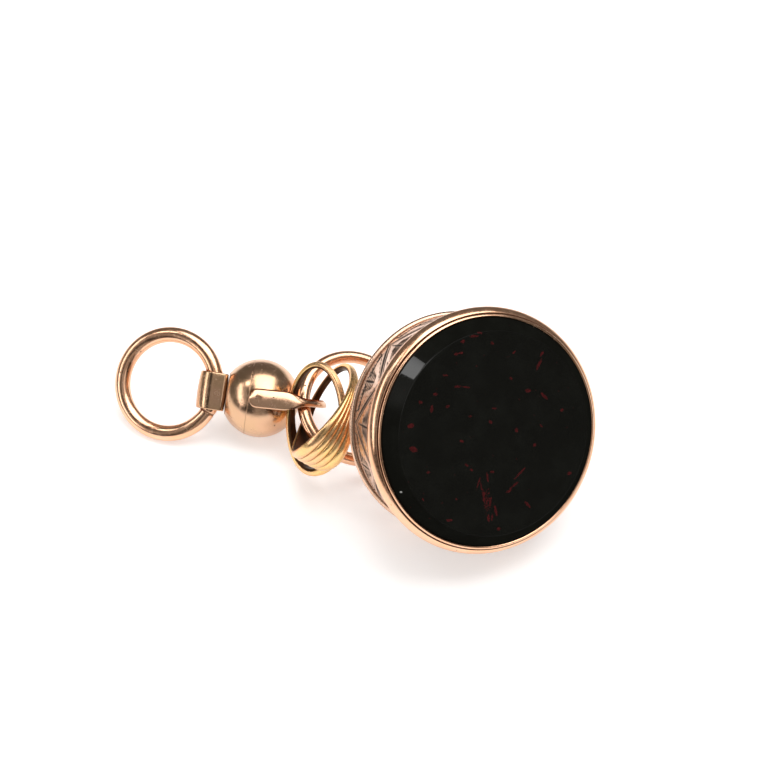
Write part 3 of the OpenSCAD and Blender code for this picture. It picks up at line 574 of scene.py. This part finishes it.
def wallGrid():
    # Outer side: a cone from the lip to the bead with the engraving cut in; inner side: a plain cone.
    w = wallSizes
    depth = np.tile(engraving(), (1, w["panels"]))
    turns = w["across"] * w["panels"]
    turn = (np.arange(turns) / turns * 2 * np.pi + math.radians(w["panelTurn"]) - np.pi / w["panels"])[None, :]
    share = np.linspace(0, 1, w["rows"])[:, None]
    worn = 0.75 + 0.25 * np.sin(3 * turn + 1) * np.sin(5 * turn)
    ridge = 0.03 * np.exp(-((share - 0.07) / 0.02) ** 2) + 0.03 * np.exp(-((share - 0.955) / 0.015) ** 2)
    outer = w["frontRadius"] - 0.02 + (w["backRadius"] - w["frontRadius"]) * share - depth * worn
    outer = outer + ridge + wander(turn, 7, 0.012)
    height = w["front"] - w["length"] * share
    inShare = np.array([1, 0.98, 0.5, 0.02, 0])[:, None]
    inner = w["frontRadius"] - w["sheet"] + (w["backRadius"] - w["frontRadius"]) * inShare + 0 * turn
    r = np.vstack([outer, inner])
    z = np.vstack([height + 0 * turn, w["front"] - w["length"] * inShare + 0 * turn])
    # Painted shade at both ends of the wall, under the lip and by the bead; the engraving's cuts darken with their
    # depth.
    edge = np.maximum(smoothStep(0.05, 0, share), smoothStep(0.965, 1, share)) * 0.7
    recess = np.maximum(np.clip(depth * worn / 0.035, 0, 1), edge)
    recess = np.vstack([recess, np.zeros((len(inShare), turns))])
    return np.stack([r * np.cos(turn), r * np.sin(turn), z], -1), recess


grid, recess = wallGrid()
addPiece("wallVisual", grid, "seal", "seal", "rose_gold", "wallGold", ["engraved_wall"], fields={"recess": recess})
print("stone, bezel and wall made")

backSizes = {"bead": 0.33, "beadAt": -7.88, "wallRadius": 9.8, "sheet": 0.45, "domeRadius": 9.6,
             "domeFront": -8.26, "domeLength": 5.1, "stemRadius": 1.7, "stemLength": 1.9, "knopRadius": 2.3,
             "knopHalf": 0.55, "lobes": 16, "lobeDepth": 0.09, "around": 400,
             "eyeRadius": 1.55, "eyeWire": 0.5, "eyeFoot": 1.2, "eyeRoll": -24.6, "eyeBack": -17.31,
             "beadAround": 480, "stemAround": 160, "eyeMesh": (200, 48), "footAround": 120}


def beadGrid():
    # A round wire on a flat strip: a circle of the bead's radius, closed to the wall's inner side.
    b = backSizes
    a = np.linspace(-np.pi / 2, np.pi / 2, 24)
    arc = np.stack([b["wallRadius"] + b["bead"] * np.cos(a), b["beadAt"] + b["bead"] * np.sin(a)], 1)
    inner = b["wallRadius"] - b["sheet"]
    outline = np.vstack([arc, [(inner, b["beadAt"] + b["bead"]), (inner, b["beadAt"] - b["bead"])]])
    return turned(walked(outline, 0.05, 0.02), b["beadAround"])


def domeGrid():
    # An ogee, r = stem + (edge - stem)(1 + cos pi t)/2, with sixteen shallow lobes that fade at both ends;
    # the inner side follows it one sheet deeper.
    b = backSizes
    t = np.linspace(0, 1, 90)
    ogee = (1 + np.cos(np.pi * t)) / 2
    outer = np.stack([b["stemRadius"] + (b["domeRadius"] - b["stemRadius"]) * ogee,
                      b["domeFront"] - b["domeLength"] * t], 1)
    inner = np.stack([(b["domeRadius"] - b["sheet"]) * ogee, b["domeFront"] - (b["domeLength"] - 0.9) * t], 1)
    outline = np.vstack([inner[::-1], outer, [(0, b["domeFront"] - b["domeLength"])]])
    profile = walked(outline, 0.09, 0.04, closed=False)[1:-1]
    grid = turned(profile, b["around"])
    turn = fullTurn(b["around"])[None, :]
    share = (b["domeFront"] - profile[:, 1:]) / b["domeLength"]
    outside = np.arange(len(profile))[:, None] > np.argmax(profile[:, 0])
    fade = smoothStep(0.06, 0.2, share) * smoothStep(0.86, 0.66, share) * outside
    lobe = np.abs(np.sin(turn * b["lobes"] / 2)) ** 0.7
    grid[..., :2] *= (1 - fade * b["lobeDepth"] * (1 - lobe) / np.maximum(profile[:, :1], 1))[..., None]
    lines = np.exp(-((share - 0.045) / 0.01) ** 2) + np.exp(-((share - 0.9) / 0.008) ** 2)
    grid[..., :2] *= (1 - 0.03 * lines * outside / np.maximum(profile[:, :1], 1))[..., None]
    return grid, np.clip(fade * (1 - lobe) ** 3 + lines * outside * 0.6, 0, 1)


def stemGrid():
    # A plain neck with a round knop at its middle.
    b = backSizes
    top = b["domeFront"] - b["domeLength"]
    neck, middle = b["stemRadius"] - b["knopHalf"] / 2, top - b["stemLength"] / 2
    a = np.linspace(np.pi / 2, -np.pi / 2, 24)
    low = top - b["stemLength"]
    knop = [b["knopRadius"] - b["knopHalf"], middle] + b["knopHalf"] * np.stack([np.cos(a), np.sin(a)], 1)
    groove = [b["knopRadius"], middle] + np.array([(-0.06, 0.09), (-0.13, 0), (-0.06, -0.09)])
    outline = np.vstack([[(0, top), (neck, top), (neck, middle + b["knopHalf"])], knop[:10], groove, knop[14:],
                         [(neck, middle - b["knopHalf"]), (neck, low), (0, low)]])
    return turned(walked(outline, 0.04, 0.03, closed=False)[1:-1], b["stemAround"])


def eyeGrids():
    # The eye is a ring of wire whose plane holds the seal's axis, on a turned foot.
    b = backSizes
    ring = wireRing(b["eyeRadius"], lambda turn, roll: b["eyeWire"] + wander(turn, 3, 0.008) + 0 * roll, *b["eyeMesh"])
    roll = math.radians(b["eyeRoll"])
    side, across = np.array([math.cos(roll), math.sin(roll), 0]), np.array([-math.sin(roll), math.cos(roll), 0])
    ring = ring @ np.array([across, [0, 0, 1], side]) + np.array([0, 0, b["eyeBack"]])
    top = b["eyeBack"] + b["eyeRadius"] + b["eyeWire"]
    outline = [(0, top), (b["eyeFoot"], top), (b["eyeFoot"] - 0.05, top - 0.3), (0.55, top - 0.62), (0, top - 0.66)]
    return ring, turned(walked(outline, 0.04, 0.05, closed=False)[1:-1], b["footAround"])


addPiece("beadVisual", beadGrid(), "seal", "seal", "rose_gold", "wallGold", ["shoulder_bead"])
grid, recess = domeGrid()
addPiece("domeVisual", grid, "seal", "seal", "rose_gold", "roseGold", ["back_dome"], capped=True,
         fields={"recess": recess})
addPiece("stemVisual", stemGrid(), "seal", "seal", "rose_gold", "roseGold", ["stem"], capped=True)
eyeRing, eyeFoot = eyeGrids()
addPiece("eyeVisual", eyeRing, "seal", "seal", "rose_gold", "roseGold", ["stem_eye"])
addPiece("eyeFootVisual", eyeFoot, "seal", "seal", "rose_gold", "roseGold", capped=True)
print("back of the seal made")

# The two plain rings

# The seam and the pits: places in degrees, the rest in mm; a pit is turn, roll, size and depth.
ringSizes = {
    "connectingRing": {"radius": 5.1, "wire": 0.6, "seamAt": 20.0, "seamDepth": 0.05, "seamWidth": 0.07,
                       "stepOver": 0.01, "pits": []},
    "watchRing": {"radius": 4.6, "wire": 0.75, "seamAt": 205.0, "seamDepth": 0.06, "seamWidth": 0.08,
                  "stepOver": 0.025, "pits": [(300.0, 60.0, 0.16, 0.07)]},
}
ringMesh = {"along": 720, "around": 56}


def seamedRing(name):
    # The wire of a ring with its closing seam, a shallow cut across the wire with a small step, and pits.
    s = dict(ringMesh, **ringSizes[name])

    def runFrom(turn, degrees=s["seamAt"], radius=s["radius"]):
        # The way in mm, the short way round, from a place in degrees.
        return ((turn - math.radians(degrees) + np.pi) % (2 * np.pi) - np.pi) * radius

    def wire(turn, roll):
        run = runFrom(turn)
        w = s["wire"] - 0.012 + wander(turn, len(name), 0.006) + 0.004 * np.sin(2 * roll + 3 * turn)
        w = w - s["seamDepth"] * np.exp(-(run / s["seamWidth"]) ** 2)
        w = w - s["stepOver"] * smoothStep(0, 0.05, run) * smoothStep(1.6, 0.2, run)
        for pitTurn, pitRoll, size, deep in s["pits"]:
            dx, dy = runFrom(turn, pitTurn), runFrom(roll, pitRoll, s["wire"])
            w = w - deep * np.exp(-(dx ** 2 + dy ** 2) / size ** 2)
        return w

    turn = fullTurn(s["along"])[:, None]
    return wireRing(s["radius"], wire, s["along"], s["around"]), 0.8 * np.exp(-(runFrom(turn) / s["seamWidth"]) ** 2)


for name, body in (("connectingRing", "connecting_ring"), ("watchRing", "watch_ring")):
    grid, recess = seamedRing(name)
    addPiece(name + "Visual", grid, name, body, "rose_gold", "roseGold", [body], fields={"recess": recess})
print("rings made")

# The knot links

knotSizes = {
    "firstKnot": {"long": 5.07, "short": 3.25, "wide": 1.5},
    "secondKnot": {"long": 5.07, "short": 4.08, "wide": 4.0},
}
bandSizes = {"narrowT": 0.6, "wideT": 0.75, "narrowW": 0.65, "flutes": (0.26, 0.17, 0.16, 0.17, 0.24),
             "fluteDepth": 0.2, "lining": 0.2, "inset": 0.08, "swell": 2.5, "crown": 3.0, "steps": 14, "around": 420}


def knotBand(name):
    # An oval line (L cos a, S sin a) and what changes along it: width and thickness grow towards a = 0.
    k, b = knotSizes[name], bandSizes
    a = fullTurn(b["around"])
    swell = ((1 + np.cos(a)) / 2) ** b["swell"]
    half = (b["narrowW"] + (k["wide"] - b["narrowW"]) * swell) / 2
    thick = b["narrowT"] + (b["wideT"] - b["narrowT"]) * swell
    path = np.stack([k["long"] * np.cos(a), k["short"] * np.sin(a)], 1)
    normal = unit(np.stack([k["short"] * np.cos(a), k["long"] * np.sin(a)], 1))
    return a, swell, half, thick, path, normal


def knotCover(name):
    # Across the band, each flute is an arch sin(pi k / n) on a crowned back (1 - |s|^3)^(1/3); under it
    # the cover is flat, where the lining lies.
    b = bandSizes
    a, swell, half, thick, path, normal = knotBand(name)
    starts = np.concatenate([[0], np.cumsum(b["flutes"])[:-1]])
    k = np.arange(b["steps"]) / b["steps"]
    s = (-1 + 2 * (starts[:, None] + np.array(b["flutes"])[:, None] * (1 - np.cos(np.pi * k)) / 2)).ravel()
    arch = np.tile(np.sin(np.pi * k), len(b["flutes"]))
    s, arch = np.append(s, 1), np.append(arch, 0)
    s = np.clip(s, -1, 1)[None, :]
    deep = b["fluteDepth"] * (0.3 + 0.7 * swell[:, None]) * np.minimum(1, half[:, None] / 0.6)
    floor = b["lining"] - thick[:, None] / 2
    body = thick[:, None] - b["lining"] - deep
    rise = floor + body * (1 - np.abs(s) ** b["crown"]) ** (1 / b["crown"]) + deep * arch * (1 - np.abs(s) ** 8)
    across = s * half[:, None]
    under = np.array([0.97, 0.5, 0, -0.5, -0.97])[None, :] * half[:, None]
    across = np.hstack([across, under])
    rise = np.hstack([rise, floor + 0 * under])
    # Painted shade: the colour darkens in the valleys between the flutes, more where the band is wide, and on the flat
    # underside.
    valley = np.exp(-(arch[None, :] / 0.3) ** 2) * (np.abs(s) < 0.99) * (0.45 + 0.55 * swell[:, None])
    recess = np.hstack([valley, 0.9 + 0 * under])
    return np.concatenate([path[:, None, :] + rise[..., None] * normal[:, None, :], across[..., None]], -1), recess


def knotLining(name):
    # The plain inner sheet: a band a little narrower than the cover, with rounded edges inside.
    b = bandSizes
    a, swell, half, thick, path, normal = knotBand(name)
    return band(path, normal, half - b["inset"], -thick / 2, b["lining"] - thick / 2 - 0.01, 0.06)


for name, body in (("firstKnot", "first_knot"), ("secondKnot", "second_knot")):
    grid, recess = knotCover(name)
    addPiece(name + "CoverVisual", grid, name, body, "yellow_gold", "yellowGold", [body + "_cover"],
             fields={"recess": recess})
    # Its near-black finish is painted shade for the inside of the link.
    addPiece(name + "LiningVisual", knotLining(name), name, body, "dark_lining", "paintedShadeLining", [body + "_lining"])
print("knot links made")

# The bow and the ball swivel

bowSizes = {"ear": 0.9, "leg": 3.97, "bend": 6.0, "corner": 3.2, "thick": 0.4, "endHalf": 0.35, "waistAt": 2.2,
            "endAt": 4.8, "edge": 0.16, "crown": 0.16, "lean": 0.45, "square": 2.7,
            "pinRadius": 0.42, "pinReach": 4.17, "pinAround": 64, "along": 260}


def roundedCorners(corners, radii, steps=40):
    # An outline whose corners become arcs: the arc's middle lies on the corner's bisector.
    c, r = np.array(corners, float), np.array(radii, float)[:, None]
    before, after = unit(np.roll(c, 1, 0) - c), unit(np.roll(c, -1, 0) - c)
    half = np.arccos(np.clip((before * after).sum(1), -1, 1))[:, None] / 2
    cut = r / np.tan(half)
    middle = c + unit(before + after) * r / np.sin(half)
    first, last = c + before * cut - middle, c + after * cut - middle
    turn = (np.pi - 2 * half)[:, None]
    t = np.linspace(0, 1, steps)[None, :, None]
    arc = np.sin((1 - t) * turn) * first[:, None] + np.sin(t * turn) * last[:, None]
    return (middle[:, None] + arc / np.sin(turn)).reshape(-1, 2)


def bowGrid():
    # A strip bent round the ball from ear to ear. Its half width follows the ear, e (1 - |x/e|^n)^(1/n),
    # then a straight leg, then narrows to the bend with a cosine.
    b = bowSizes
    corners = [(-b["ear"], b["leg"]), (b["bend"], b["leg"]), (b["bend"], -b["leg"]), (-b["ear"], -b["leg"])]
    arcs = roundedCorners(corners, [0.001, b["corner"], b["corner"], 0.001]).reshape(4, -1, 2)[1:3].reshape(-1, 2)
    line = np.vstack([[[-b["ear"], b["leg"]]], arcs, [[-b["ear"], -b["leg"]]]])
    run = np.concatenate([[0], np.cumsum(np.linalg.norm(np.diff(line, axis=0), axis=1))])
    ear = b["ear"] * (1 - np.cos(np.linspace(0.1, np.pi / 2, 22)))
    at = np.concatenate([ear, np.linspace(b["ear"], run[-1] - b["ear"], b["along"])[1:-1], (run[-1] - ear)[::-1]])
    path = np.stack([np.interp(at, run, line[:, 0]), np.interp(at, run, line[:, 1])], 1)
    path[:, 0] = np.maximum(path[:, 0], -b["ear"])
    x = path[:, 0]
    narrow = (1 + np.cos(np.pi * np.clip((x - b["waistAt"]) / (b["endAt"] - b["waistAt"]), 0, 1))) / 2
    ear = b["ear"] * np.maximum(1 - np.abs(x / b["ear"]) ** b["square"], 1e-4) ** (1 / b["square"])
    half = np.where(x < 0, ear, b["endHalf"] + (b["ear"] - b["endHalf"]) * narrow)
    crown = b["crown"] * np.minimum(1, half / 0.3)[:, None]
    normal = -pathNormal(path, closed=False)
    return band(path, normal, half, -b["thick"] / 2, b["thick"] / 2, b["edge"], crown, b["lean"])


def pinGrid():
    # The cross pin, burnished away flush with the ears: a cylinder with softly domed ends.
    b = bowSizes
    reach = b["pinReach"] - 0.01
    half = [(b["pinRadius"], reach - 0.05), (b["pinRadius"] - 0.12, reach - 0.006), (0, reach)]
    outline = [(r, -z) for r, z in half[::-1]] + half
    grid = turned(walked(outline, 0.05, 0.03, closed=False)[1:-1], b["pinAround"])
    return np.stack([grid[..., 0], grid[..., 2], grid[..., 1]], -1)


ballSizes = {"radius": 3.65, "cavity": 3.15, "seam": 1.0, "seat": 3.1, "postHole": 0.6, "flange": 2.75, "gap": 0.004,
             "step": 0.045, "soft": 0.012, "around": 300}


def spherePart(radius, low, high, count):
    # Part of a circle between two heights, as (r, z).
    a = np.linspace(math.asin(max(-1, low / radius)), math.asin(min(1, high / radius)), count)
    return np.stack([radius * np.cos(a), radius * np.sin(a)], 1)


def cupGrids():
    # The ball is turned in two cups: the outer sphere, the rim at the seam and the hollow inside.
    b = ballSizes
    outer = spherePart(b["radius"], -b["radius"], b["seam"], 70)
    inner = spherePart(b["cavity"], -b["cavity"], b["seam"], 60)
    bowCup = walked(np.vstack([outer, inner[::-1]]), b["step"], b["soft"], closed=False)[1:-1]
    outer = spherePart(b["radius"], b["seam"] + b["gap"], b["seat"], 50)
    inner = spherePart(b["cavity"], b["seam"] + b["gap"], b["flange"], 40)
    hole = [(b["postHole"], b["seat"]), (b["postHole"], b["flange"])]
    strapCup = walked(np.vstack([outer, hole, inner[::-1]]), b["step"], b["soft"])
    made = []
    for profile in (bowCup, strapCup):
        # A faint dark line at the seam, and painted shade round the top of the strap cup, under the strap's base.
        near = 0.1 * np.exp(-((profile[:, 1:] - b["seam"]) / 0.05) ** 2) * (profile[:, :1] > 3.2)
        seat = smoothStep(b["seat"] - 0.12, b["seat"] - 0.02, profile[:, 1:]) * 0.6
        made.append((turned(profile, b["around"]), np.maximum(near, seat)))
    return made


strapSizes = {"low": 3.13, "high": 5.9, "half": 1.48, "thick": 0.35, "base": 0.25, "corner": 1.44, "backCorner": 0.28,
              "halfWidth": 1.75, "edge": 0.11, "crown": 0.1}


def strapGrid():
    # A closed strap: its middle line is a box with rounded corners in the plane of post and pin; the base
    # on the ball is thinner than the rest.
    s = strapSizes
    low, high, side = s["low"] + s["thick"] / 2, s["high"] - s["thick"] / 2, s["half"] - s["thick"] / 2
    inner = [s["backCorner"], s["corner"] - s["thick"] / 2, s["corner"] - s["thick"] / 2, s["backCorner"]]
    line = roundedCorners([(low, -side), (high, -side), (high, side), (low, side)], inner, 12)
    path = walked(line, 0.045, 0.03)
    normal = pathNormal(path, closed=True)
    centre = np.array([(low + high) / 2, 0])
    normal = normal * np.sign(((path - centre) * normal).sum(1).mean())
    thin = smoothStep(low + 0.3, low + 0.02, path[:, 0]) * (np.abs(path[:, 1]) < side - 0.2)
    under = -s["thick"] / 2 + (s["thick"] - s["base"]) * thin
    grid = band(path, normal, s["halfWidth"], under, s["thick"] / 2, s["edge"], s["crown"])
    return np.stack([grid[..., 2], grid[..., 1], grid[..., 0]], -1)


postSizes = {"headLow": 2.1, "headHigh": 2.49, "head": 1.05, "shank": 0.57, "top": 3.43, "around": 72}


def postGrid():
    # The swivel post: a rivet head inside the ball and a low domed end on the strap's floor.
    p = postSizes
    outline = [(0, p["headLow"]), (p["head"], p["headLow"]), (p["head"], p["headHigh"]),
               (p["shank"], p["headHigh"] + 0.01), (p["shank"], p["top"] - 0.05),
               (p["shank"] - 0.07, p["top"] - 0.02), (0.2, p["top"]), (0, p["top"])]
    return turned(walked(outline, 0.03, 0.02, closed=False)[1:-1], p["around"])


addPiece("bowVisual", bowGrid(), "bow", "bow", "pale_gold", "paleGold", ["bow"], capped=True)
addPiece("crossPinVisual", pinGrid(), "bow", "bow", "pale_gold", "paleGold", ["cross_pin"], capped=True)
(bowCup, bowCupRecess), (strapCup, strapCupRecess) = cupGrids()
addPiece("bowCupVisual", bowCup, "swivel", "ball", "pale_gold", "paleGold", ["bow_cup"], capped=True,
         fields={"recess": bowCupRecess})
addPiece("strapCupVisual", strapCup, "swivel", "ball", "pale_gold", "paleGold", ["strap_cup"],
         fields={"recess": strapCupRecess})
addPiece("strapVisual", strapGrid(), "swivel", "swivel", "pale_gold", "paleGold", ["swivel_strap"])
addPiece("swivelPostVisual", postGrid(), "swivel", "swivel", "steel", "steel", ["swivel_post"], capped=True)
print("bow, ball and strap made")

for node, name in (("backing_disc", "steel"), ("swivel_washer", "steel"), ("cement_bed", "cement")):
    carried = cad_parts[node]
    carried.data.materials.clear()
    carried.data.materials.append(finish[name])

# Floor, lights and camera

# All in metres. Mirror rays see the sheet as white up to whiteTo from its middle, and as room past roomFrom.
studio = {"floorSize": 3.0, "floorDrop": 0.00002, "whiteTo": 0.04, "roomFrom": 0.15, "floorTone": (0.9, 0.9, 0.9, 1),
          "roomTone": (0.09, 0.085, 0.08, 1), "floorGlow": 0.5, "roughness": 0.8, "specular": 0.1}
# Panels: place in metres, direction of the height, width, height and power in watts.
lamps = {
    "overhead": ((0.21, 0.16, 0.9), (0, 1, 0), 0.95, 0.85, 8.6),
    "leftStrip": ((-0.78, -0.16, 0.42), (0.1, 1.15, 0.48), 0.22, 0.95, 1.9),
    "window": ((-0.42, 0.14, 0.67), (0, 1, 0), 0.2, 0.16, 0.45),
}
# How bright the room is in front and behind, how much darker it is in its gaps and round the lens, how
# bright the window on the right is, and what the camera itself sees past the floor.
room = {"front": 0.42, "back": 0.16, "gap": 0.88, "lens": 0.4, "pane": 1.3, "tint": (1.0, 0.99, 0.97, 1),
        "seen": (0.9, 0.9, 0.9, 1)}
photoView = {"place": (0.002960, -0.271659, 0.337462), "turn": 40, "lens": 219.1, "sensor": 36, "near": 0.01}


def floor():
    mesh = bpy.data.meshes.new("floor")
    half = studio["floorSize"] / 2
    corners = [(x, y, -studio["floorDrop"]) for x, y in ((-half, -half), (half, -half), (half, half), (-half, half))]
    mesh.from_pydata(corners, [], [(0, 1, 2, 3)])
    made, tree, shader = newMaterial("palePaper")
    shader.inputs["Roughness"].default_value = studio["roughness"]
    shader.inputs["Specular IOR Level"].default_value = studio["specular"]
    far = addNode(tree, "ShaderNodeVectorMath", operation="LENGTH")
    linkUp(tree, (addNode(tree, "ShaderNodeTexCoord").outputs["Object"], far.inputs[0]))
    mirrored = addNode(tree, "ShaderNodeLightPath").outputs["Is Glossy Ray"]
    dim = between(tree, far.outputs["Value"], studio["whiteTo"], studio["roomFrom"])
    dim = times(tree, dim, mirrored)
    tone = mixColours(tree, dim, studio["floorTone"], studio["roomTone"])
    linkUp(tree, (tone, shader.inputs["Base Color"]), (tone, shader.inputs["Emission Color"]))
    shader.inputs["Emission Strength"].default_value = studio["floorGlow"]
    mesh.materials.append(made)
    plane = bpy.data.objects.new("floor", mesh)
    bpy.context.scene.collection.objects.link(plane)


def softbox(name, place, along, width, height, power):
    # A panel that faces the fob, with its height laid as near as can be to the direction along.
    data = bpy.data.lights.new(name, "AREA")
    data.shape, data.size, data.size_y, data.energy = "RECTANGLE", width, height, power
    lamp = bpy.data.objects.new(name, data)
    lamp.location = place
    back = Vector(place).normalized()
    side = Vector(along).cross(back).normalized()
    lamp.rotation_euler = Matrix((side, back.cross(side), back)).transposed().to_euler()
    bpy.context.scene.collection.objects.link(lamp)
    return lamp


def studioWorld():
    # A pale tent, dimmer behind the fob. On the camera's side the room shows dark between the lamp on the
    # left and the lens and low down on both sides, and a window shows on the right. x, y and z are the
    # direction that is looked in.
    world = bpy.data.worlds.new("studio")
    bpy.context.scene.world = world
    world.use_nodes = True
    tree = world.node_tree
    shade = tree.nodes["Background"]
    way = addNode(tree, "ShaderNodeSeparateXYZ")
    linkUp(tree, (addNode(tree, "ShaderNodeTexCoord").outputs["Generated"], way.inputs[0]))
    x, y, z = way.outputs
    base = between(tree, y, -0.6, 0.3, room["front"], room["back"])
    front = between(tree, y, 0.05, -0.25)
    gapLeft = times(tree, between(tree, x, -0.66, -0.5), between(tree, x, -0.18, -0.34))
    lens = times(tree, between(tree, x, -0.08, 0.02), between(tree, x, 0.34, 0.22))
    lens = times(tree, lens, room["lens"])
    lowRight = times(tree, between(tree, z, 0.62, 0.45), between(tree, x, 0.1, 0.4))
    lowLeft = times(tree, between(tree, z, 0.4, 0.3), between(tree, x, -0.2, -0.5))
    dark = times(tree, highest(tree, gapLeft, lens, lowRight, lowLeft), front)
    pane = times(tree, between(tree, x, 0.24, 0.34), between(tree, x, 0.58, 0.48))
    pane = times(tree, times(tree, pane, front), between(tree, z, 0.5, 0.6))
    level = times(tree, base, timesPlus(tree, dark, -room["gap"], 1.0))
    level = timesPlus(tree, pane, room["pane"], level)
    seen = addNode(tree, "ShaderNodeLightPath").outputs["Is Camera Ray"]
    tone = mixColours(tree, seen, mixColours(tree, level, (0, 0, 0, 1), room["tint"]), room["seen"])
    linkUp(tree, (tone, shade.inputs["Color"]))
    shade.inputs["Strength"].default_value = 1.0


def camera():
    v = photoView
    data = bpy.data.cameras.new("photoView")
    data.lens, data.sensor_width, data.clip_start = v["lens"], v["sensor"], v["near"]
    made = bpy.data.objects.new("photoView", data)
    made.location, made.rotation_euler = v["place"], (math.radians(v["turn"]), 0, 0)
    bpy.context.scene.collection.objects.link(made)
    bpy.context.scene.camera = made


floor()
for name, values in lamps.items():
    softbox(name, *values)
studioWorld()
camera()
bpy.context.scene.view_settings.view_transform = "Standard"
bpy.context.scene.view_settings.look = "None"
print("studio made")
